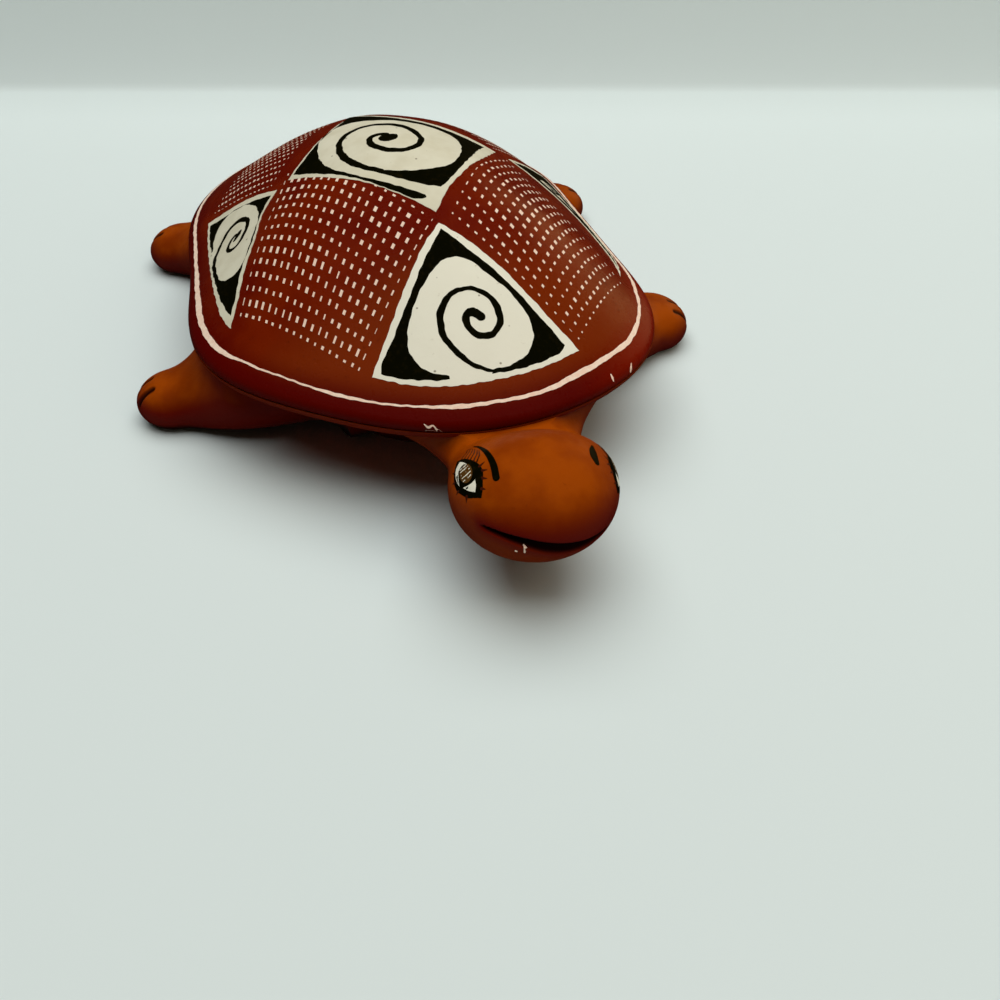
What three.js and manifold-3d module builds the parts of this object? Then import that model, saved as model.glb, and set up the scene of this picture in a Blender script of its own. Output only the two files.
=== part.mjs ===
// Pottery turtle rattle. Two thin clay bowls are luted rim to rim over loose clay pellets,
// and a head, four feet and a tail are luted on. The head looks towards -Y, and the belly rests on z = 0.
import * as THREE from 'three';
import { mergeVertices } from 'three/addons/utils/BufferGeometryUtils.js';
import Module from 'manifold-3d';

const wasm = await Module();
wasm.setup();

// Shell, in millimetres
const shellLength = 131.5;
const shellWidth = 93.4;
const shellHeight = 47.4;
const rimHeight = 21.5;
const rimLip = 0.4;
const seamHeight = 19.4;
const shellWall = 4.2;
const rimWall = 5;
const seamLand = 1;
const domeRoundness = 1.89;
const domeSlackness = 1.2;

// The hand-pressed rim wanders from a true oval: waves round the rim, then their height along and across
const rimWobble = [
  [1, -0.55, -0.33],
  [2, 0.12, 1.04],
  [3, -1.06, 0.82],
  [4, -1.89, 1.39],
  [5, -0.1, 0],
  [6, 0.28, 0],
  [7, -0.11, -0.28],
  [8, 0.24, -0.12],
];

// Belly bowl
const bellyWall = 4;
const bellyFloor = 4;
const restingLength = 80;
const restingWidth = 55;
const undercutDepth = 4.3;
const bellySwell = 4.5;
const bellyShoulder = 15;
const ventRadius = 3;
const ventSetback = 21;

// Luting: the two bowls, the coil pressed into their seam, and the limbs
const lutingGap = 0.3;
const coilRadius = 2.6;
const coilProud = 0.9;

// Head and neck. Each limb starts inside the shell, at an angle from the head's side round towards +X
// and a distance inside the rim
const headAngle = 6;
const headInset = 12.5;
const headTurn = 5;
const headReach = 42.4;
const snoutLength = 14.4;
const headWidth = 28.4;
const headLow = 8.3;
const headHigh = 27.9;
const collarWidth = 44;
const collarReach = 17;
const collarLow = 10;
const collarHigh = 19.2;
const collarRound = 4;
const neckWidth = 24.8;
const neckWaist = 15.5;
const neckLow = 9.2;
const neckHigh = 18.6;
const mouthHeight = 17.2;
const mouthWidth = 19.5;
const mouthOpening = 1.5;
const mouthSmile = 1.8;
const mouthDepth = 1.2;

// Feet: angle, distance inside the rim, heading from +X, reach, and widths at the root and the toe
const feet = [
  { name: 'front_right_foot', angle: -54, inset: 29, heading: 178.7, reach: 41, width: 33, toeWidth: 15.5 },
  { name: 'front_left_foot', angle: 50.5, inset: 29.4, heading: 0, reach: 41.2, width: 36, toeWidth: 18.5 },
  { name: 'rear_right_foot', angle: -153.4, inset: 22, heading: 150, reach: 40.7, width: 27, toeWidth: 17.5 },
  { name: 'rear_left_foot', angle: 154, inset: 18.3, heading: 14.8, reach: 43.3, width: 26, toeWidth: 16.8 },
];
const footFlare = 15;
const footRootHigh = 17;
const footHigh = 11.2;
const toeHigh = 9.4;
const toeRound = 8;
const soleTrim = 1.6;
const clawRadius = 0.6;
const clawLength = 4;
const clawSpacing = 4.4;
const clawSlope = 40;

// Tail
const tailInset = 14;
const tailReach = 21;
const tailWidth = 12;
const tailTipWidth = 6;
const tailLow = 2.4;
const tailHigh = 14;
const tailTipHigh = 7;
const tailRound = 4;

// Pellets, rolled from the same clay: across, along, diameter
const pellets = [
  [-11, -24, 7.5],
  [3, -30, 6.5],
  [12, -18, 8],
  [-4, -13, 7],
  [-15, -7, 6.5],
  [8, -4, 7.5],
  [-7, 4, 8],
  [16, 7, 6.5],
  [-13, 16, 7],
  [9, 15, 7.5],
  [-6, 27, 6.5],
  [7, 26.5, 7],
];

// Facets, and the reach of the cutting solids past the part
const roundSteps = 56;
const limbSteps = 20;
const coilSteps = 10;
const cuttingRoom = 60;

const degrees = (value) => (value * Math.PI) / 180;
const lerp = THREE.MathUtils.lerp;

// Solids in and out of the boolean library
function solidOf(geometry) {
  const bare = geometry.clone();
  bare.deleteAttribute('normal');
  bare.deleteAttribute('uv');
  const merged = mergeVertices(bare, 1e-5);
  return new wasm.Manifold(new wasm.Mesh({
    numProp: 3,
    vertProperties: new Float32Array(merged.attributes.position.array),
    triVerts: new Uint32Array(merged.index.array),
  }));
}

function geometryOf(solid) {
  const mesh = solid.getMesh();
  const geometry = new THREE.BufferGeometry();
  geometry.setAttribute('position', new THREE.BufferAttribute(new Float32Array(mesh.vertProperties), 3));
  geometry.setIndex(new THREE.BufferAttribute(new Uint32Array(mesh.triVerts), 1));
  geometry.computeVertexNormals();
  return geometry;
}

// A closed skin over rings of points that run anticlockwise seen from the start point
function skin(start, rings, end) {
  const count = rings[0].length;
  const points = [start, ...rings.flat(), end];
  const faces = [];
  const at = (ring, step) => 1 + ring * count + (step % count);
  for (let step = 0; step < count; step += 1) {
    faces.push(0, at(0, step), at(0, step + 1));
    for (let ring = 0; ring + 1 < rings.length; ring += 1) {
      faces.push(at(ring, step), at(ring + 1, step), at(ring, step + 1));
      faces.push(at(ring, step + 1), at(ring + 1, step), at(ring + 1, step + 1));
    }
    faces.push(at(rings.length - 1, step), points.length - 1, at(rings.length - 1, step + 1));
  }
  const geometry = new THREE.BufferGeometry();
  geometry.setAttribute('position', new THREE.Float32BufferAttribute(points.flat(), 3));
  geometry.setIndex(faces);
  return geometry;
}

// A closed ring of round section whose centre line follows the rim's outline
function ringed(centreAt, radius) {
  const points = [];
  const faces = [];
  for (let step = 0; step < roundSteps; step += 1) {
    const angle = (step / roundSteps) * 2 * Math.PI;
    const [centre, height] = centreAt(outlineAt(angle));
    for (let turn = 0; turn < coilSteps; turn += 1) {
      const lean = (turn / coilSteps) * 2 * Math.PI;
      const r = centre + radius * Math.cos(lean);
      points.push(r * Math.sin(angle), -r * Math.cos(angle), height + radius * Math.sin(lean));
      const [here, ahead] = [step * coilSteps, ((step + 1) % roundSteps) * coilSteps];
      const next = (turn + 1) % coilSteps;
      faces.push(here + turn, ahead + turn, here + next, ahead + turn, ahead + next, here + next);
    }
  }
  const geometry = new THREE.BufferGeometry();
  geometry.setAttribute('position', new THREE.Float32BufferAttribute(points, 3));
  geometry.setIndex(faces);
  return geometry;
}

// The reach of an oval at an angle from the head round towards +X
function ovalRadius(length, width, angle) {
  return 0.5 / Math.hypot(Math.cos(angle) / length, Math.sin(angle) / width);
}

// The rim and the resting face at an angle
function outlineAt(angle) {
  let rim = ovalRadius(shellLength, shellWidth, angle);
  for (const [waves, along, across] of rimWobble) {
    rim += along * Math.cos(waves * angle) + across * Math.sin(waves * angle);
  }
  return { rim, foot: ovalRadius(restingLength, restingWidth, angle) };
}

// The place on the plan at an angle in degrees and a distance inside the rim
function insideRim(angle, inset) {
  const reach = outlineAt(degrees(angle)).rim - inset;
  return [reach * Math.sin(degrees(angle)), -reach * Math.cos(degrees(angle))];
}

function domeHeight(share) {
  return rimHeight + (shellHeight - rimHeight) * (1 - share ** domeRoundness) ** domeSlackness;
}

// A profile moved sideways by a distance, to the left of its own direction
function moved(profile, distance) {
  return profile.map(([r, z], index) => {
    const [r0, z0] = profile[Math.max(index - 1, 0)];
    const [r1, z1] = profile[Math.min(index + 1, profile.length - 1)];
    const length = Math.hypot(r1 - r0, z1 - z0);
    return [r - ((z1 - z0) / length) * distance, z + ((r1 - r0) / length) * distance];
  });
}

// Outer profiles as [radius, height], from the crown to the seam and from the seam to the resting face
function carapaceOutside({ rim }, bottom) {
  const shares = [0.12, 0.24, 0.36, 0.47, 0.57, 0.66, 0.74, 0.81, 0.87, 0.92, 0.96];
  const edge = [[rim, rimHeight], [rim + rimLip * 0.8, rimHeight - rimLip * 1.6]];
  return [...shares.map((share) => [share * rim, domeHeight(share)]), ...edge, [rim + rimLip, bottom]];
}

function bellyOutside({ rim, foot }, top) {
  const curve = new THREE.CubicBezierCurve(
    new THREE.Vector2(rim + rimLip, top),
    new THREE.Vector2(rim + rimLip, top - undercutDepth),
    new THREE.Vector2(foot + bellySwell, bellyShoulder),
    new THREE.Vector2(foot, 0),
  );
  return curve.getPoints(9).map((point) => [point.x, point.y]);
}

// Inner profiles, a wall's thickness inside; only the rows clear of the rim's upright land are kept
function carapaceInside(outline, bottom, clearance) {
  const wall = outline.rim + rimLip - rimWall - clearance;
  const dome = moved(carapaceOutside(outline, bottom), -shellWall - clearance).slice(0, -5);
  return [...dome.filter((_, row) => row % 2 === 0), [wall, bottom + seamLand], [wall, bottom]];
}

function bellyInside(outline, top, clearance) {
  const wall = outline.rim + rimLip - rimWall - clearance;
  const slope = moved(bellyOutside(outline, top), -bellyWall - clearance).slice(4, -1);
  return [[wall, top], ...slope, [outline.foot - bellyWall, bellyFloor + clearance]];
}

// A closed solid whose profile follows the rim's outline; it starts and ends on the crown's axis
function turned(profileAt) {
  const profiles = [];
  for (let step = 0; step < roundSteps; step += 1) {
    const angle = (step / roundSteps) * 2 * Math.PI;
    profiles.push({ angle, points: profileAt(outlineAt(angle)) });
  }
  const rows = profiles[0].points.length;
  const rings = [];
  for (let row = 1; row + 1 < rows; row += 1) {
    rings.push(profiles.map(({ angle, points }) => {
      const [r, z] = points[row];
      return [r * Math.sin(angle), -r * Math.cos(angle), z];
    }));
  }
  return skin([0, 0, profiles[0].points[0][1]], rings, [0, 0, profiles[0].points[rows - 1][1]]);
}

// A smooth value along a limb, through the values given at some distances
function through(...stations) {
  const slope = (index) => {
    const before = stations[Math.max(index - 1, 0)];
    const after = stations[Math.min(index + 1, stations.length - 1)];
    return (after[1] - before[1]) / (after[0] - before[0]);
  };
  return (at) => {
    if (at <= stations[0][0]) return stations[0][1];
    if (at >= stations[stations.length - 1][0]) return stations[stations.length - 1][1];
    const next = Math.max(stations.findIndex(([where]) => where > at), 1);
    const [[from, low], [to, high]] = [stations[next - 1], stations[next]];
    const t = (at - from) / (to - from);
    const leaving = slope(next - 1) * (to - from);
    const arriving = next + 1 < stations.length ? slope(next) * (to - from) : 0;
    return (
      low * (2 * t ** 3 - 3 * t ** 2 + 1) + leaving * (t ** 3 - 2 * t ** 2 + t)
      + high * (3 * t ** 2 - 2 * t ** 3) + arriving * (t ** 3 - t ** 2)
    );
  };
}

// A point of a limb, by its distance ahead of the root, to the right of the centre line, and up
function placed({ root, heading }, at, side, height) {
  const [ahead, aside] = [Math.cos(degrees(heading)), Math.sin(degrees(heading))];
  return [root[0] + ahead * at + aside * side, root[1] + aside * at - ahead * side, height];
}

// A luted limb: upright oval sections along a level centre line, closed by a round end
function limb(form, trim = 0) {
  const { reach, round, width, low, high } = form;
  const straight = reach - round;
  const stops = [];
  for (let step = 0; step < limbSteps / 2; step += 1) stops.push((straight * step) / (limbSteps / 2));
  for (let step = 0; step < limbSteps / 3; step += 1) {
    stops.push(straight + round * Math.sin((Math.PI / 2) * (step / (limbSteps / 3))));
  }
  const rings = stops.map((at) => {
    const closing = at > straight ? Math.sqrt(1 - ((at - straight) / round) ** 2) : 1;
    const [middle, half] = [(high(at) + low(at)) / 2, (high(at) - low(at)) / 2];
    const ring = [];
    for (let step = 0; step < limbSteps; step += 1) {
      const turn = (step / limbSteps) * 2 * Math.PI;
      const side = (width(at) / 2) * closing - trim;
      const rise = half * closing - trim;
      ring.push(placed(form, at, side * Math.cos(turn), middle + rise * Math.sin(turn)));
    }
    return ring;
  });
  const middleAt = (at) => placed(form, at, 0, (low(at) + high(at)) / 2);
  return solidOf(skin(middleAt(0), trim ? rings.slice(0, -2) : rings, middleAt(reach - trim)));
}

// The whole shell as one closed form, grown by a clearance, to cut limbs back to its surface
function shellForm(clearance) {
  return solidOf(turned((outline) => {
    const dome = moved([[0, shellHeight], ...carapaceOutside(outline, seamHeight)], clearance).slice(1);
    const belly = moved([...bellyOutside(outline, seamHeight), [0, 0]], clearance).slice(1, -1);
    const [foot] = belly.pop();
    return [[0, shellHeight + clearance], ...dome, ...belly, [foot, -cuttingRoom], [0, -cuttingRoom]];
  }));
}

const shellCutter = shellForm(lutingGap);

function floorCutter() {
  const ground = new THREE.BoxGeometry(2 * shellLength, 2 * shellLength, cuttingRoom);
  ground.translate(0, 0, -cuttingRoom / 2);
  return solidOf(ground);
}

const material = (color, roughness) => new THREE.MeshStandardMaterial({ color, roughness, metalness: 0 });
const redSlip = material('#7a2410', 0.3);
const barePottery = material('#9a4a16', 0.5);
const rawClay = material('#a8663c', 0.9);

const turtle = new THREE.Group();

function add(name, solid, finish) {
  const mesh = new THREE.Mesh(geometryOf(solid), finish);
  mesh.name = name;
  turtle.add(mesh);
  return mesh;
}

// Carapace: the upper bowl, open below, with a rounded edge that overhangs the belly
const carapaceSeam = seamHeight + lutingGap / 2;
const carapace = solidOf(turned((outline) => [
  [0, shellHeight],
  ...carapaceOutside(outline, carapaceSeam),
  ...carapaceInside(outline, carapaceSeam, 0).reverse(),
  [0, shellHeight - shellWall],
]));
add('carapace', carapace, redSlip);

// Belly bowl: the lower bowl, with a flat resting face and the vent that let its air out in the kiln
const bellySeam = seamHeight - lutingGap / 2;
const ventDrill = new THREE.CylinderGeometry(ventRadius, ventRadius, 4 * bellyFloor, limbSteps);
ventDrill.rotateX(Math.PI / 2);
ventDrill.translate(0, ventSetback, 0);
const bellyBowl = solidOf(turned((outline) => [
  [0, bellyFloor],
  ...bellyInside(outline, bellySeam, 0).reverse(),
  ...bellyOutside(outline, bellySeam),
  [0, 0],
]));
add('belly_bowl', bellyBowl.subtract(solidOf(ventDrill)), barePottery);

// Seam coil: clay pressed into the corner inside the joint of the two bowls
const cavity = solidOf(turned((outline) => [
  [0, shellHeight - shellWall - lutingGap],
  ...carapaceInside(outline, carapaceSeam, lutingGap).slice(0, -1),
  ...bellyInside(outline, bellySeam, lutingGap).slice(1),
  [0, bellyFloor + lutingGap],
]));
const coil = solidOf(ringed(({ rim }) => [rim + rimLip - rimWall - coilProud, seamHeight], coilRadius));
add('seam_coil', coil.intersect(cavity), rawClay);

// Head and neck, with the mouth cut in while the clay was soft
const headForm = {
  root: insideRim(headAngle, headInset),
  heading: -90 - headTurn,
  reach: headReach,
  round: snoutLength,
  width: through([0, neckWidth], [neckWaist, neckWidth], [headReach - snoutLength, headWidth]),
  low: through([0, neckLow], [neckWaist, neckLow], [headReach - snoutLength, headLow]),
  high: through([0, neckHigh], [neckWaist * 0.75, neckHigh], [headReach - snoutLength, headHigh]),
};

// The neck's clay smeared out under the rim
const collarForm = {
  root: insideRim(headAngle, headInset),
  heading: -90 - headTurn,
  reach: collarReach,
  round: collarRound,
  width: through(
    [0, collarWidth],
    [collarReach / 2, lerp(collarWidth, neckWidth, 0.75)],
    [collarReach, neckWidth * 0.9],
  ),
  low: () => collarLow,
  high: () => collarHigh,
};

function mouthCutter() {
  const half = mouthWidth / 2;
  const smile = new THREE.Shape();
  smile.moveTo(-half, mouthSmile);
  smile.quadraticCurveTo(0, -mouthSmile, half, mouthSmile);
  smile.quadraticCurveTo(0, -mouthSmile - 2 * mouthOpening, -half, mouthSmile);
  const cut = new THREE.ExtrudeGeometry(smile, { depth: snoutLength, bevelEnabled: false, curveSegments: 8 });
  cut.rotateX(Math.PI / 2);
  cut.rotateZ(degrees(-headTurn));
  const [x, y] = placed(headForm, headReach - snoutLength * 0.62, 0, 0);
  cut.translate(x, y, mouthHeight);
  return solidOf(cut).subtract(limb(headForm, mouthDepth));
}

const head = limb(headForm).add(limb(collarForm));
add('head', head.subtract(shellCutter).subtract(mouthCutter()), barePottery);

// Feet: flat soled paddles, the claws pressed into the toes
function footForm({ angle, inset, heading, reach, width, toeWidth }) {
  const [toe, flare] = [reach - toeRound, reach - footFlare];
  return {
    root: insideRim(angle, inset),
    heading,
    reach,
    round: toeRound,
    width: through([0, width], [flare - 5, width * 0.92], [toe + 1, toeWidth]),
    low: () => -soleTrim,
    high: through([flare - 3, footRootHigh], [flare + 3, footHigh], [toe + 2, toeHigh]),
  };
}

for (const foot of feet) {
  const form = footForm(foot);
  let solid = limb(form).subtract(shellCutter).subtract(floorCutter());
  for (const side of [-0.5, 0.5]) {
    const claw = new THREE.CapsuleGeometry(clawRadius, clawLength, 2, 6);
    claw.rotateX(Math.PI / 2 - degrees(clawSlope));
    claw.rotateZ(degrees(foot.heading - 90));
    claw.translate(...placed(form, form.reach - toeRound * 0.35, side * clawSpacing, toeHigh * 0.72));
    solid = solid.subtract(solidOf(claw));
  }
  add(foot.name, solid, barePottery);
}

// Tail: a small drooping cone under the rim
const tailForm = {
  root: insideRim(180, tailInset),
  heading: 90,
  reach: tailReach,
  round: tailRound,
  width: through([0, tailWidth * 1.6], [tailReach / 2, tailWidth], [tailReach - tailRound, tailTipWidth]),
  low: () => tailLow,
  high: through([0, tailHigh], [tailReach / 2, tailHigh - 2], [tailReach - tailRound, tailTipHigh]),
};
add('tail', limb(tailForm).subtract(shellCutter), barePottery);

// Pellets: loose on the floor of the sealed chamber
pellets.forEach(([across, along, diameter], index) => {
  const ball = mergeVertices(new THREE.IcosahedronGeometry(diameter / 2, 2));
  const mesh = add(`rattle_pellet_${index + 1}`, solidOf(ball), rawClay);
  mesh.rotation.set(index, 2 * index, 0);
  mesh.position.set(across, along, bellyFloor + lutingGap + diameter / 2);
});

export default turtle;
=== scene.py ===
import math

import bpy
import numpy as np
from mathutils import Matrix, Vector
from mathutils.bvhtree import BVHTree
from mathutils.geometry import delaunay_2d_cdt


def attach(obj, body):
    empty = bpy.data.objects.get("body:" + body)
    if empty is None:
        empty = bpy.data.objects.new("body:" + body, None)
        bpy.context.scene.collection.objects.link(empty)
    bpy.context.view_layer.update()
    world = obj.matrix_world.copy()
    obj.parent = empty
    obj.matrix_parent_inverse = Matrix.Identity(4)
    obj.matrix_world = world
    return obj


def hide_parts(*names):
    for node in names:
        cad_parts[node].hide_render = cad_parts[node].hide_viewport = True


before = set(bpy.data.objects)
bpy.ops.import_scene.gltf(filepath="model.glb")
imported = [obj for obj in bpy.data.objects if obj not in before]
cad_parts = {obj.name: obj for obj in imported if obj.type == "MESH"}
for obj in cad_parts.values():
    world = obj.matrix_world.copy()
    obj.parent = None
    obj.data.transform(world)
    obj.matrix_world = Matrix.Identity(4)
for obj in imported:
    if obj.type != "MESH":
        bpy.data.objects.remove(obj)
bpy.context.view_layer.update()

# Carapace: the upper bowl, pinched from a slab over a form and closed over the belly bowl.
# Its outside was coated with red slip and rubbed with a stone, and its outline was trued only by hand.
# Lengths are in millimetres up to the mesh, and angles run from the head's side towards +X.
MM = 0.001
SHELL_LENGTH, SHELL_WIDTH, SHELL_HEIGHT = 131.5, 93.4, 47.4
RIM_HEIGHT, RIM_LIP, SEAM_HEIGHT = 21.5, 0.4, 19.4
DOME_ROUNDNESS, DOME_SLACKNESS = 1.89, 1.2
SHELL_WALL, RIM_WALL = 4.2, 5.0
WOBBLE = [(1, -0.55, -0.33), (2, 0.12, 1.04), (3, -1.06, 0.82), (4, -1.89, 1.39),
          (5, -0.1, 0), (6, 0.28, 0), (7, -0.11, -0.28), (8, 0.24, -0.12)]
TURNS = np.linspace(0, 2 * math.pi, 320, endpoint=False)


def oval_at(length, width, turn):
    return 0.5 / np.hypot(np.cos(turn) / length, np.sin(turn) / width)


def rim_at(turn):
    """The rim's reach at an angle, with the waves that the hands left in it."""
    waves = sum(a * np.cos(n * turn) + b * np.sin(n * turn) for n, a, b in WOBBLE)
    return oval_at(SHELL_LENGTH, SHELL_WIDTH, turn) + waves


def ripple(x, y):
    """The low unevenness that pinching and rubbing leave in the clay."""
    return (0.09 * np.sin(x / 7.1 + 1.3 * np.sin(y / 13)) + 0.07 * np.sin(y / 5.3 + x / 11 + 0.8)
            + 0.05 * np.sin(x / 3.1 - y / 4.7 + 2.1))


def dome_at(x, y):
    """The height of the shell's upper surface over a place on the plan."""
    share = np.clip(np.hypot(x, y) / rim_at(np.arctan2(x, -y)), 0, 1)
    rise = (1 - share ** DOME_ROUNDNESS) ** DOME_SLACKNESS
    return RIM_HEIGHT + (SHELL_HEIGHT - RIM_HEIGHT) * rise + ripple(x, y) * (1 - share ** 6)


def ring_at(reach, height):
    """A closed ring of points at a reach from the middle and a height."""
    return np.stack([reach * np.sin(TURNS), -reach * np.cos(TURNS), height + 0 * TURNS], -1)


def bend(t, *controls):
    """A place on a curve that leaves the first of four controls and ends in the last."""
    weights = (1 - t) ** 3, 3 * t * (1 - t) ** 2, 3 * t * t * (1 - t), t ** 3
    return sum(weight * control for weight, control in zip(weights, controls))


def linked(name, data):
    """An object in the scene for a mesh, a lamp or a camera."""
    made = bpy.data.objects.new(name, data)
    bpy.context.scene.collection.objects.link(made)
    return made


def solid(name, points, faces, finish, replaced=(), sharp=40):
    """A piece from points in millimetres and faces, smooth up to a sharp edge."""
    mesh = bpy.data.meshes.new(name)
    mesh.from_pydata((np.asarray(points) * MM).tolist(), [], faces)
    mesh.materials.append(finish)
    mesh.shade_smooth()
    mesh.set_sharp_from_angle(angle=math.radians(sharp))
    piece = linked(name, mesh)
    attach(piece, "pottery")
    if replaced:
        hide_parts(*replaced)
    return piece


def skinned(start, rings, end):
    """Points and faces of a closed skin over rings, between a start point and an end point."""
    rings = np.asarray(rings)
    rows, count = rings.shape[:2]
    points = np.vstack([[start], rings.reshape(-1, 3), [end]])
    here = np.arange(count)
    ahead = (here + 1) % count
    last = 1 + (rows - 1) * count
    faces = [[0, 1 + a, 1 + b] for a, b in zip(here, ahead)]
    for row in range(rows - 1):
        top, low = 1 + row * count, 1 + (row + 1) * count
        faces += [[top + a, low + a, low + b, top + b] for a, b in zip(here, ahead)]
    faces += [[last + a, rows * count + 1, last + b] for a, b in zip(here, ahead)]
    return points, faces


def wired(tree, kind, inputs, settings):
    """The outputs of a new node in a tree, its inputs linked or set."""
    made = tree.nodes.new(kind)
    for key, value in settings.items():
        setattr(made, key, value)
    for key, value in inputs.items():
        if isinstance(value, bpy.types.NodeSocket):
            tree.links.new(value, made.inputs[key])
        else:
            made.inputs[key].default_value = value
    return made.outputs


class Finish:
    """A material whose shader is written with plain arithmetic on its values."""

    def __init__(self, name):
        self.material = bpy.data.materials.new(name)
        self.material.use_nodes = True
        self.tree = self.material.node_tree
        self.tree.nodes.clear()
        self.place = self.node("ShaderNodeTexCoord", output="Object")

    def node(self, kind, inputs=None, output=0, **settings):
        plain = {key: getattr(value, "socket", value) for key, value in (inputs or {}).items()}
        return Value(self, wired(self.tree, kind, plain, settings)[output])

    def maths(self, operation, *values):
        return self.node("ShaderNodeMath", dict(enumerate(values)), operation=operation)

    def axis(self, number, vector=None):
        """One axis of a vector, or of the place on the turtle in metres: 0 across, 1 back, 2 up."""
        return self.node("ShaderNodeSeparateXYZ", {0: vector or self.place}, number)

    def noise(self, size, detail=3, stretch=(1, 1, 1)):
        """Soft noise from 0 to 1 with features of a size in millimetres."""
        scale = [1 / (size * MM * share) for share in stretch]
        where = self.node("ShaderNodeVectorMath", {0: self.place, 1: scale}, operation="MULTIPLY")
        inputs = {"Vector": where, "Scale": 1, "Detail": detail, "Roughness": 0.55}
        return self.node("ShaderNodeTexNoise", inputs)

    def cells(self, size):
        """The distance from scattered points, from 0 at a point, in cells of a size in millimetres."""
        return self.node("ShaderNodeTexVoronoi", {"Vector": self.place, "Scale": 1 / (size * MM)})

    def ramp(self, value, low, high, start=0.0, end=1.0):
        """A soft step of a value from low to high."""
        return self.node("ShaderNodeMapRange", {0: value, 1: low, 2: high, 3: start, 4: end},
                         interpolation_type="SMOOTHSTEP")

    def mix(self, share, first, second):
        def colour(value):
            return value if isinstance(value, Value) else (*value, 1)
        return self.node("ShaderNodeMix", {0: share, 6: colour(first), 7: colour(second)}, 2,
                         data_type="RGBA")

    def bump(self, height, distance):
        """Relief of a depth in millimetres."""
        return self.node("ShaderNodeBump", {"Height": height, "Distance": distance * MM, "Strength": 1.0})

    def done(self, **inputs):
        """Close the material with a surface whose inputs are named with underscores for spaces."""
        named = {key.replace("_", " "): value for key, value in inputs.items()}
        surface = self.node("ShaderNodeBsdfPrincipled", named)
        wired(self.tree, "ShaderNodeOutputMaterial", {"Surface": surface.socket}, {})
        return self.material


class Value:
    """A number or a colour inside a finish."""

    def __init__(self, finish, socket):
        self.finish = finish
        self.socket = socket

    def __add__(self, other):
        return self.finish.maths("ADD", self, other)

    def __mul__(self, other):
        return self.finish.maths("MULTIPLY", self, other)

    __radd__ = __add__
    __rmul__ = __mul__


red = Finish("burnished_red_slip")
cloud = red.noise(16)
fine = red.noise(1.6, 5)
streak = red.noise(3.5, 4, stretch=(1, 5, 1))
pits = red.ramp(red.cells(1.7), 0.10, 0.2)
tone = red.mix(red.ramp(cloud, 0.35, 0.65), (0.120, 0.0045, 0.0002), (0.165, 0.0115, 0.0004))
# Painted light: the red is lighter and more orange towards the front of the shell, standing in for light
# on the front slopes.
setback = red.axis(1)
tone = red.mix(red.ramp(setback + cloud * 0.02, -0.018, -0.034, 0, 0.7), tone, (0.20, 0.026, 0.002))
tone = red.mix(red.ramp(streak, 0.55, 0.8, 0, 0.3), tone, (0.21, 0.020, 0.002))
tone = red.mix(red.ramp(fine, 0.62, 0.8, 0, 0.5), tone, (0.055, 0.003, 0.0002))
# Painted shade: the rim's steep side is darkened below a height of about 22 mm, most on the side towards
# -X and least towards +X.
edge = red.mix(red.ramp(red.axis(0), 0.015, 0.035), (0.08, 0.0007, 0.0002), (0.17, 0.006, 0.0003))
tone = red.mix(red.ramp(red.axis(2), 0.0220, 0.0255, 0.96, 0), tone, edge)
red_slip = red.done(
    Base_Color=tone, Roughness=red.ramp(streak + fine, 0.7, 1.3, 0.24, 0.38),
    Specular_IOR_Level=0.07, Normal=red.bump(streak * 0.6 + fine * 0.5 + pits * 0.25, 0.1))

DOME_ROWS, INNER_ROWS = 84, 24
EDGE_SHARE, EDGE_ROWS, EDGE_PULL = 0.94, 14, 0.55
UNDER_LIP = [(0.15, 0.25), (0.5, 0), (RIM_WALL, 0), (RIM_WALL, 1)]
rim = rim_at(TURNS)
shell_rows = []
for share in np.linspace(0, EDGE_SHARE, DOME_ROWS + 1)[1:]:
    across, along = share * rim * np.sin(TURNS), -share * rim * np.cos(TURNS)
    shell_rows.append(np.stack([across, along, dome_at(across, along)], -1))
edge_height = shell_rows[-1][:, 2]
fall = (edge_height - shell_rows[-2][:, 2]) / (rim * EDGE_SHARE / DOME_ROWS)
edge_reach, lip = EDGE_SHARE * rim, rim + RIM_LIP
seam = SEAM_HEIGHT + 0.02
lead = EDGE_PULL * (lip - edge_reach)
for t in np.arange(1, EDGE_ROWS + 1) / EDGE_ROWS:
    reach = bend(t, edge_reach, edge_reach + lead, lip, lip)
    height = bend(t, edge_height, edge_height + fall * lead, seam + 2.2, seam + 0.6)
    shell_rows.append(ring_at(reach, height))
shell_rows += [ring_at(lip - inward, seam + up) for inward, up in UNDER_LIP]
outer_shell_rows = shell_rows[:DOME_ROWS + EDGE_ROWS + 1]
ceiling, springing = SHELL_HEIGHT - SHELL_WALL, RIM_HEIGHT - 0.6
for share in np.linspace(0.9, 0.06, INNER_ROWS):
    rise = (1 - share ** DOME_ROUNDNESS) ** DOME_SLACKNESS
    shell_rows.append(ring_at(share * (rim - RIM_WALL), springing + (ceiling - springing) * rise))
points, faces = skinned((0, 0, float(dome_at(0, 0))), shell_rows, (0, 0, ceiling))
carapace = solid("carapace_shell", points, faces, red_slip, replaced=["carapace"], sharp=50)
carapace_tree = BVHTree.FromPolygons(points.tolist(), faces)

# Painted panels: cream slip laid on the leather-hard red, then black outlines and spirals over it.
# Each is a thin closed layer that follows the shell, its outline drawn through given points.
CREAM_LIFT, BLACK_LIFT, LINE_LIFT, EDGE_DROP, BURIED = 0.08, 0.13, 0.15, 0.03, 0.05
CLEAR_SHARE = 0.55
PLAN = ((0, 0, 90), (1, 0, 0), (0, 1, 0))


def smoothed(t, gap, start, end, start_slope, end_slope):
    """A value at a share of the gap between two values, with the slopes at both."""
    return ((2 * t ** 3 - 3 * t ** 2 + 1) * start + (t ** 3 - 2 * t ** 2 + t) * gap * start_slope
            + (3 * t ** 2 - 2 * t ** 3) * end + (t ** 3 - t ** 2) * gap * end_slope)


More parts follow.
